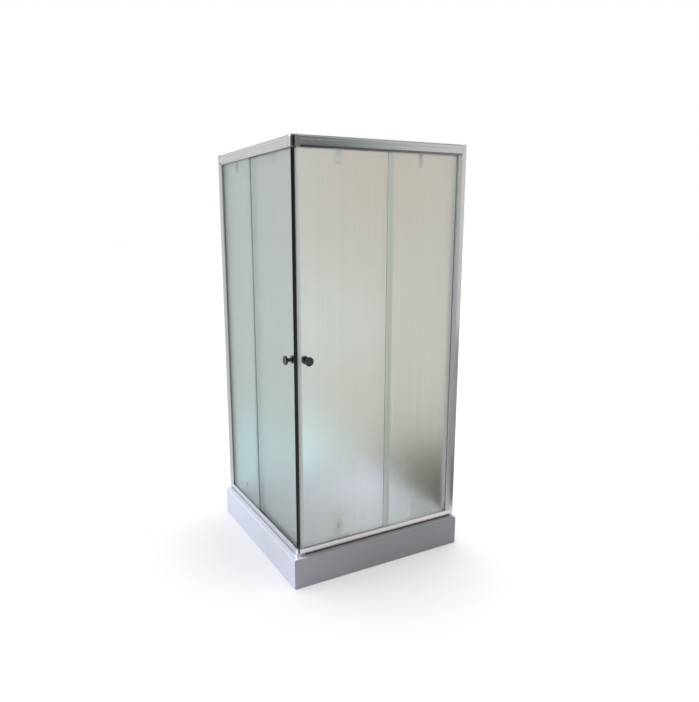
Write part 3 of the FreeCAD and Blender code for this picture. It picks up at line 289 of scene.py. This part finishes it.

# Painted reflection: the front header's lower lip is coloured dark at the corner end, fading to pale at the
# far end, standing in for a reflection; it is not the rail's own colour.
strip_half_length = 0.42
fading_strip = new_finish("fading_strip")
strip_place = add(fading_strip.node_tree, "ShaderNodeTexCoord")
strip_axes = add(fading_strip.node_tree, "ShaderNodeSeparateXYZ")
fading_strip.node_tree.links.new(strip_place.outputs["Object"], strip_axes.inputs[0])
fading = remap(fading_strip.node_tree, strip_axes.outputs["X"], -strip_half_length, strip_half_length)
shade_between(fading_strip, fading, (0.08, 0.08, 0.08), (0.70, 0.68, 0.68))
gloss_between(fading_strip, fading, 0.35, 0.45)


def paint_strip(profile, finish, heights, deep):
    """Gives the profile's outer faces between two heights a second colour; it lays on the painted shadow and
    painted reflection strips.
    """
    outward = -0.7      # how squarely a face has to look outwards
    outer_skin = -0.4   # the side's outer faces lie beyond this, through its thickness
    low, high = heights
    profile.data.materials.append(finish)
    for face in profile.data.polygons:
        faces_out = face.normal[deep] < outward and face.center[deep] < outer_skin
        if faces_out and low < face.center.z < high:
            face.material_index = 1


sides = {"front": 1, "left": 0}  # each glazed side, with the index of the axis through its thickness
rail_foot = (0.1395, 0.1485)
header_lip = (1.890, 1.9005)
for side, deep in sides.items():
    for node, finish in (("wall_channel", upright), ("glazing_post", satin_upright)):
        dress(eased_copy(f"{side}_{node}", f"{side}_{node}_profile", 0.0005), finish)
    header = eased_copy(f"{side}_header_rail", f"{side}_header_rail_profile", 0.0005)
    sill = eased_copy(f"{side}_bottom_rail", f"{side}_bottom_rail_profile", 0.0005)
    dress(header, across[side])
    dress(sill, across[side])
    # The bottom rail's foot gets the dark strip with its painted shadow, and the front header's lip the
    # painted reflection.
    paint_strip(sill, shadow_strip, rail_foot, deep)
    if side == "front":
        paint_strip(header, fading_strip, header_lip, deep)
    plugs = eased_copy(f"{side}_rail_end_plugs", f"{side}_end_plug_mouldings", 0.0005)
    dress(plugs, grey_plastic)


# ---- Corner connectors
# Chrome-plated mouldings that close the front corner and plug into the rails of both sides.

plated = new_finish("plated_moulding", metallic=1.0)
ripples = use(plated, cloudy, Patches_per_metre=25.0).outputs["Mask"]
shade_between(plated, ripples, (0.70, 0.71, 0.72), (0.80, 0.81, 0.82))
gloss_between(plated, ripples, 0.04, 0.09)
for node in ("top_corner", "bottom_corner"):
    dress(eased_copy(node, node + "_connector", 0.0008, steps=3), plated)


# ---- Glass
# Five millimetre toughened panes, etched to a satin face all over. The ground edges stay clearer and show
# the green of the glass. The fixed pane sits in the frame; the door's pane hangs behind it.

satin = new_finish("satin_glass", IOR=1.45, Transmission_Weight=1.0)
pane_streaks = use(satin, drawn, Lines_per_metre=(90.0, 90.0, 0.6)).outputs["Mask"]
straight = shade_between(satin, pane_streaks, (0.90, 0.93, 0.915), (0.96, 0.975, 0.96))
slant = add(satin.node_tree, "ShaderNodeLayerWeight")
glass_depth = remap(satin.node_tree, slant.outputs["Facing"], 0.2, 0.6)
tinted = blend(satin.node_tree, glass_depth, straight, (0.955, 1.07, 1.075),
               blend_type="MULTIPLY", clamp_result=True)
drive(satin, tinted, "Base Color")
etching = use(satin, cloudy, Patches_per_metre=1.5).outputs["Mask"]
gloss_between(satin, etching, 0.36, 0.42)
relief(satin, pane_streaks, 0.0003, 0.3)

ground_edge = new_finish("ground_glass_edge", IOR=1.1, Transmission_Weight=1.0)
grinding = use(ground_edge, drawn, Lines_per_metre=(60.0, 60.0, 600.0)).outputs["Mask"]
shade_between(ground_edge, grinding, (0.34, 0.42, 0.40), (0.44, 0.52, 0.50))
gloss_between(ground_edge, grinding, 0.4, 0.55)


def glaze(node, name, deep):
    """A pane whose faces are satin and whose narrow ground edge is green; deep is its thin direction."""
    pane_face = 0.9  # how squarely one of the two large faces looks along the thin direction
    pane = eased_copy(node, name, 0.0006)
    dress(pane, satin)
    pane.data.materials.append(ground_edge)
    for face in pane.data.polygons:
        if abs(face.normal[deep]) < pane_face:
            face.material_index = 1


for side, deep in sides.items():
    glaze(f"{side}_fixed_glass", f"{side}_fixed_pane", deep)
    glaze(f"{side}_door_glass", f"{side}_door_pane", deep)


# ---- Seals, gasket and stops
# Pale rubber holds the fixed pane in its rails and grey rubber blocks stop the door; clear vinyl strips edge
# the door, and a black magnetic strip on each door's leading edge pulls the two doors shut.

rubber = new_finish("grey_rubber")
rubber_pores = use(rubber, skin, Grains_per_metre=1500.0).outputs["Mask"]
shade_between(rubber, rubber_pores, (0.075, 0.078, 0.08), (0.055, 0.058, 0.06))
gloss_between(rubber, rubber_pores, 0.55, 0.7)
relief(rubber, rubber_pores, 0.0001, 0.5)

pale_rubber = new_finish("pale_grey_rubber")
gasket_pores = use(pale_rubber, skin, Grains_per_metre=1500.0).outputs["Mask"]
shade_between(pale_rubber, gasket_pores, (0.66, 0.67, 0.67), (0.58, 0.59, 0.59))
gloss_between(pale_rubber, gasket_pores, 0.5, 0.65)
relief(pale_rubber, gasket_pores, 0.0001, 0.5)

magnet = new_finish("black_magnet")
magnet_lines = use(magnet, drawn, Lines_per_metre=(300.0, 300.0, 3.0)).outputs["Mask"]
shade_between(magnet, magnet_lines, (0.006, 0.008, 0.009), (0.012, 0.014, 0.015))
gloss_between(magnet, magnet_lines, 0.32, 0.45)

vinyl = new_finish("clear_vinyl", Alpha=0.8)
flow = use(vinyl, drawn, Lines_per_metre=(120.0, 120.0, 1.0)).outputs["Mask"]
shade_between(vinyl, flow, (0.80, 0.84, 0.80), (0.86, 0.90, 0.86))
gloss_between(vinyl, flow, 0.35, 0.5)

for side in sides:
    gasket = eased_copy(f"{side}_fixed_glass_gasket", f"{side}_gasket_strips", 0.0002)
    dress(gasket, pale_rubber)
    dress(eased_copy(f"{side}_door_stops", f"{side}_stop_blocks", 0.0008), rubber)
    dress(eased_copy(f"{side}_magnet_strip", f"{side}_magnet_bar", 0.0008, steps=3), magnet)
    dress(eased_copy(f"{side}_door_edge_seal", f"{side}_edge_seal_strip", 0.0002), vinyl)
    dress(eased_copy(f"{side}_door_rear_seal", f"{side}_rear_seal_strip", 0.0002), vinyl)


# ---- Door running gear and clips
# Moulded hangers and carriages carry grooved nylon wheels on the rails' ribs; the lower pair sits in a
# slider, pushed up against a steel spring to free the door. Nylon clips hold the fixed pane, and steel
# screws lock the frame's ends.

steel = new_finish("brushed_stainless", metallic=1.0)
brushing = use(steel, drawn, Lines_per_metre=(25.0, 25.0, 900.0)).outputs["Mask"]
shade_between(steel, brushing, (0.48, 0.48, 0.48), (0.60, 0.60, 0.60))
gloss_between(steel, brushing, 0.26, 0.42)

nylon = new_finish("white_nylon", Subsurface_Weight=1.0, Subsurface_Scale=0.04,
                   Subsurface_Radius=(1.0, 1.0, 1.0))
nylon_grain = use(nylon, skin, Grains_per_metre=600.0).outputs["Mask"]
shade_between(nylon, nylon_grain, (0.95, 0.96, 0.945), (0.92, 0.93, 0.915))
gloss_between(nylon, nylon_grain, 0.4, 0.55)

dress(eased_copy("frame_screws", "frame_screw_set", 0.0004), steel)

for side in sides:
    dress(eased_copy(f"{side}_top_carriage", f"{side}_hanger", 0.0004), nylon)
    dress(eased_copy(f"{side}_carriage_bolts", f"{side}_bolt_set", 0.0008, steps=3), nylon)
    dress(eased_copy(f"{side}_fixed_glass_clips", f"{side}_clip_buttons", 0.0008, steps=3), nylon)
    dress(eased_copy(f"{side}_lower_carriage", f"{side}_guide_block", 0.0006), nylon)
    dress(eased_copy(f"{side}_lower_slider", f"{side}_release_slider", 0.0004), nylon)
    coil = eased_copy(f"{side}_release_spring", f"{side}_coil_spring", 0.0001, sharp=80)
    dress(coil, steel)
    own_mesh(coil)
    for wheel in ("top_wheel_a", "top_wheel_b", "lower_wheel_a", "lower_wheel_b"):
        dress(eased_copy(f"{side}_{wheel}", f"{side}_{wheel}_tyre", 0.0002), nylon)


# ---- Knobs
# Turned brass, chromed: a spool outside each door and a low button inside, on a stud through the pane.

# Painted reflection: the knobs' chrome is given a dark colour, a shaded copy of the bright chrome, standing
# in for the dark room it mirrors.
knob_metal_painted_dark = new_finish("knob_chrome", metallic=1.0)
turning = use(knob_metal_painted_dark, cloudy, Patches_per_metre=90.0).outputs["Mask"]
shade_between(knob_metal_painted_dark, turning, (0.10, 0.11, 0.11), (0.15, 0.16, 0.16))
gloss_between(knob_metal_painted_dark, turning, 0.12, 0.2)
for side in sides:
    dress(eased_copy(f"{side}_knob_outer", f"{side}_spool_knob", 0.0006), knob_metal_painted_dark)
    dress(eased_copy(f"{side}_knob_inner", f"{side}_button_knob", 0.0006), knob_metal_painted_dark)
    dress(eased_copy(f"{side}_knob_stud", f"{side}_stud", 0.0002), steel)


# ---- Floor
# A plain pale floor. What the glass lets through, what the metal mirrors and what falls back on the white
# tray each have soft round patches of painted light and painted shade, standing in for a studio's dark and
# light ends.

pale = new_finish("pale_floor", Roughness=0.9)
ray = add(pale.node_tree, "ShaderNodeLightPath")
floor_place = add(pale.node_tree, "ShaderNodeTexCoord")


def round_patches(tree, position, ground, patches):
    """Soft round patches on the floor: each has a centre, an inner and an outer radius and a shade."""
    for (x, y), inner, outer, shade in patches:
        away = add(tree, "ShaderNodeVectorMath", {1: (x, y, 0.0)}, operation="DISTANCE")
        tree.links.new(position, away.inputs[0])
        fade = remap(tree, away.outputs["Value"], outer, inner, interpolation_type="SMOOTHSTEP")
        ground = blend(tree, fade, ground, shade)
    return ground


passed = round_patches(pale.node_tree, floor_place.outputs["Object"], (0.47, 0.455, 0.40), [
    ((1.2, 8.0), 3.0, 4.5, (0.60, 0.70, 0.68)),
    ((6.5, -1.5), 2.2, 3.7, (0.85, 1.0, 0.98)),
    ((-4.0, 8.0), 2.5, 5.0, (0.95, 1.0, 1.0)),
    ((-0.2, 1.6), 0.6, 1.15, (0.58, 0.86, 0.94)),
    # painted shadow behind the tray's right-hand end, seen through the glass
    ((1.15, 0.0), 0.5, 1.02, (0.03, 0.04, 0.015)),
])
mirrored = round_patches(pale.node_tree, floor_place.outputs["Object"], (0.52, 0.51, 0.48), [
    ((2.0, -3.6), 2.8, 3.4, (0.25, 0.25, 0.255)),
    ((-0.05, -0.8), 0.3, 0.6, (0.82, 0.74, 0.76)),
    ((0.42, -0.72), 0.2, 0.35, (0.82, 0.74, 0.76)),
    ((0.98, -1.05), 0.25, 0.5, (0.14, 0.15, 0.145)),
    ((-0.95, 0.1), 0.6, 1.0, (0.78, 0.84, 0.92)),
    ((-0.72, -0.36), 0.06, 0.16, (1.0, 1.0, 1.0)),
    ((-0.60, -0.70), 0.08, 0.2, (0.02, 0.02, 0.025)),
])
scattered = round_patches(pale.node_tree, floor_place.outputs["Object"], (0.18, 0.18, 0.20), [
    ((-0.6, -0.85), 0.1, 0.75, (0.42, 0.42, 0.44)),
])
floor_shade = blend(pale.node_tree, ray.outputs["Is Transmission Ray"], mirrored, passed)
floor_shade = blend(pale.node_tree, ray.outputs["Is Diffuse Ray"], floor_shade, scattered)
floor_shade = blend(pale.node_tree, ray.outputs["Is Camera Ray"], floor_shade, (0.93, 0.93, 0.93))
drive(pale, floor_shade, "Base Color")

floor_size = 120.0
bpy.ops.mesh.primitive_plane_add(size=floor_size, location=(0, 0, 0))
floor = bpy.context.active_object
floor.name = "floor"
floor.data.materials.append(pale)


# ---- Studio room
# A ring of soft shades round the room, white to the camera: one ring for what the metal mirrors and one for
# what shows through the glass, both fading to a dim ceiling.

world = bpy.data.worlds.new("studio")
bpy.context.scene.world = world
world.use_nodes = True
room = world.node_tree
room_ray = add(room, "ShaderNodeLightPath")
way = add(room, "ShaderNodeTexCoord")
way_parts = add(room, "ShaderNodeSeparateXYZ")
forward = add(room, "ShaderNodeMath", {1: -1.0}, operation="MULTIPLY")
bearing = add(room, "ShaderNodeMath", operation="ARCTAN2")
room.links.new(way.outputs["Generated"], way_parts.inputs[0])
room.links.new(way_parts.outputs["Y"], forward.inputs[0])
room.links.new(way_parts.outputs["X"], bearing.inputs[0])
room.links.new(forward.outputs["Value"], bearing.inputs[1])
turn = remap(room, bearing.outputs["Value"], -pi, pi)


def ring_of_shades(tree, turn, stops):
    """Shades round the room by degrees; 0 is in front of the front door, 90 on its right."""
    ring = add(tree, "ShaderNodeValToRGB")
    while len(ring.color_ramp.elements) < len(stops):
        ring.color_ramp.elements.new(0.5)
    for stop, (degrees, shade) in zip(ring.color_ramp.elements, stops):
        stop.position = (degrees + 180) / 360
        stop.color = (*shade, 1.0)
    tree.links.new(turn, ring.inputs["Fac"])
    return ring.outputs["Color"]


mirrored_ring = ring_of_shades(room, turn, [
    (-180, (0.64, 0.70, 0.69)), (-155, (0.71, 0.69, 0.665)), (-138, (0.78, 0.78, 0.77)),
    (-122, (1.0, 1.0, 1.0)), (-108, (0.42, 0.42, 0.46)),
    (-78, (0.10, 0.10, 0.12)), (-20, (0.02, 0.02, 0.022)), (21, (0.02, 0.02, 0.022)),
    (25, (0.27, 0.27, 0.27)), (28, (0.08, 0.09, 0.09)), (33, (0.38, 0.45, 0.41)),
    (37, (0.66, 0.66, 0.65)), (44, (0.78, 0.76, 0.74)), (100, (0.62, 0.61, 0.59)),
    (180, (0.64, 0.70, 0.69)),
])
passed_ring = ring_of_shades(room, turn, [
    (-180, (0.75, 0.92, 0.92)), (-120, (0.66, 0.69, 0.68)), (40, (0.62, 0.63, 0.61)),
    (70, (0.94, 1.0, 1.0)), (118, (0.94, 1.0, 1.0)), (135, (0.57, 0.52, 0.45)),
    (153, (0.57, 0.49, 0.43)), (165, (0.75, 0.92, 0.93)),
])
rise = remap(room, way_parts.outputs["Z"], 0.3, 0.9)
room_shade = blend(room, room_ray.outputs["Is Transmission Ray"], mirrored_ring, passed_ring)
room_shade = blend(room, rise, room_shade, (0.34, 0.34, 0.36))
room_shade = blend(room, room_ray.outputs["Is Camera Ray"], room_shade, (1.0, 1.0, 1.0))
room.links.new(room_shade, room.nodes["Background"].inputs["Color"])


# ---- Lamps
# Soft lamps, each for the pieces it is meant for: a cool key from behind on the left for the tray and the
# metal, a narrow one for the basin, a fill for the nylon and vinyl behind the glass, and one for the floor.

def hang(name, kind, place, target, power, **settings):
    """A lamp of one kind, hung at a place and aimed at a target."""
    lamp = bpy.data.lights.new(name, kind)
    lamp.energy = power
    for key, value in settings.items():
        setattr(lamp, key, value)
    holder = bpy.data.objects.new(name, lamp)
    bpy.context.scene.collection.objects.link(holder)
    holder.location = place
    holder.rotation_euler = (Vector(target) - Vector(place)).to_track_quat("-Z", "Y").to_euler()
    return holder


def group_of(name, pieces):
    """A collection of pieces for a lamp to light, or to be blocked by."""
    group = bpy.data.collections.new(name)
    for piece in pieces:
        group.objects.link(piece)
    return group


shown = [piece for piece in bpy.context.scene.collection.objects if piece.type == "MESH"]
bright_words = ("tray", "rail_profile", "connector")
bright_pieces = [piece for piece in shown if any(word in piece.name for word in bright_words)]
milky = {nylon.name, vinyl.name}
milky_pieces = [piece for piece in shown if milky & set(piece.data.materials.keys())]

key = hang("key_back_left", "AREA", (-5.0, 3.0, 4.2), (0, 0, 0.3), 430, color=(0.80, 0.86, 1.0),
           shape="RECTANGLE", size=2.6, size_y=2.6)
key.light_linking.receiver_collection = group_of("key_lit", bright_pieces)

basin_light = hang("basin_light", "SPOT", (1.0, 3.6, 3.6), (0.15, -0.05, 0.1), 760,
                   color=(0.92, 0.96, 1.0), spot_size=radians(13), spot_blend=1.0, shadow_soft_size=0.5)
basin_light.light_linking.receiver_collection = group_of("basin_lit", [tray])

fill = hang("fill_front_left", "AREA", (-3.2, -3.6, 2.6), (0, 0, 1.0), 92, color=(1.0, 1.0, 0.985),
            shape="RECTANGLE", size=2.0, size_y=2.0)
fill.light_linking.receiver_collection = group_of("fill_lit", milky_pieces)
fill.light_linking.blocker_collection = group_of("fill_blocked", [tray])

wash = hang("floor_wash", "SUN", (0, 0, 0), (0, 0, -1), 2.7, angle=radians(80))
wash.light_linking.receiver_collection = group_of("lit_floor", [floor])


# ---- Camera
# The photograph's own place and lens, a little to the left of the front corner and above the knobs.

heading, tilt, roll = (radians(degrees) for degrees in (-27.5228, 90 - 11.8696, -0.4378))
camera_data = bpy.data.cameras.new("camera")
camera_data.lens = 31.953
camera_data.sensor_width = 36.0
camera_data.shift_x = 0.0434
camera_data.shift_y = 0.0071
camera = bpy.data.objects.new("camera", camera_data)
bpy.context.scene.collection.objects.link(camera)
camera.matrix_world = (Matrix.Translation((-1.50538, -2.72140, 1.59049))
                       @ Matrix.Rotation(heading, 4, "Z")
                       @ Matrix.Rotation(tilt, 4, "X")
                       @ Matrix.Rotation(roll, 4, "Z"))
bpy.context.scene.camera = camera
bpy.context.scene.view_settings.view_transform = "Standard"
